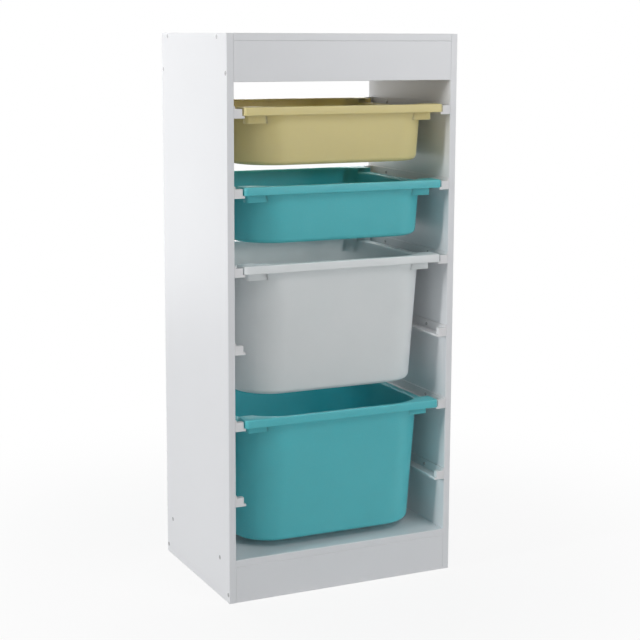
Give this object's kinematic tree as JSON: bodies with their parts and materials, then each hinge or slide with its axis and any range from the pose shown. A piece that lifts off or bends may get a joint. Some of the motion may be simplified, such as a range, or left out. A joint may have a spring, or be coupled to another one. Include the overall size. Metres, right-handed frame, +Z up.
{
  "type": "toy storage frame with bins",
  "caption": "Tall narrow open-backed board frame with moulded runners inside its sides, holding shallow and deep pull-out bins.",
  "frame": {"origin": "on the floor, in the middle of the whole object's width and depth, bins pushed in", "axes": "+X to the right seen from the front, +Y towards the back, +Z up"},
  "size_m": [0.42, 0.305, 0.94],
  "materials": {
    "foiled_board": "white foil on chipboard, satin",
    "runner_plastic": "moulded white plastic",
    "screw_steel": "zinc plated",
    "bin_yellow": "moulded polypropylene, soft satin",
    "bin_teal": "moulded polypropylene, soft satin",
    "bin_white": "moulded polypropylene, soft satin"
  },
  "bodies": {
    "root": {"left_side_panel": "foiled_board", "right_side_panel": "foiled_board", "top_panel": "foiled_board", "top_front_rail": "foiled_board", "top_rear_rail": "foiled_board", "bottom_shelf": "foiled_board", "front_plinth": "foiled_board", "rear_plinth": "foiled_board", "runner_left_1": "runner_plastic", "runner_right_1": "runner_plastic", "runner_left_2": "runner_plastic", "runner_right_2": "runner_plastic", "runner_left_3": "runner_plastic", "runner_right_3": "runner_plastic", "runner_left_4": "runner_plastic", "runner_right_4": "runner_plastic", "runner_left_5": "runner_plastic", "runner_right_5": "runner_plastic", "runner_left_6": "runner_plastic", "runner_right_6": "runner_plastic", "carcass_screws_left": "screw_steel", "carcass_screws_right": "screw_steel", "runner_screws_left": "screw_steel", "runner_screws_right": "screw_steel"},
    "shallow_bin_1_body": {"shallow_bin_1": "bin_yellow"},
    "shallow_bin_2_body": {"shallow_bin_2": "bin_teal"},
    "deep_bin_1_body": {"deep_bin_1": "bin_white"},
    "deep_bin_2_body": {"deep_bin_2": "bin_teal"}
  },
  "joints": [
    {"name": "shallow_bin_1_slide", "type": "slide", "parent": "root", "child": "shallow_bin_1_body", "axis": [0, -1, 0], "range_m": [0, 0.31]},
    {"name": "shallow_bin_2_slide", "type": "slide", "parent": "root", "child": "shallow_bin_2_body", "axis": [0, -1, 0], "range_m": [0, 0.31]},
    {"name": "deep_bin_1_slide", "type": "slide", "parent": "root", "child": "deep_bin_1_body", "axis": [0, -1, 0], "range_m": [0, 0.31]},
    {"name": "deep_bin_2_slide", "type": "slide", "parent": "root", "child": "deep_bin_2_body", "axis": [0, -1, 0], "range_m": [0, 0.31]}
  ]
}
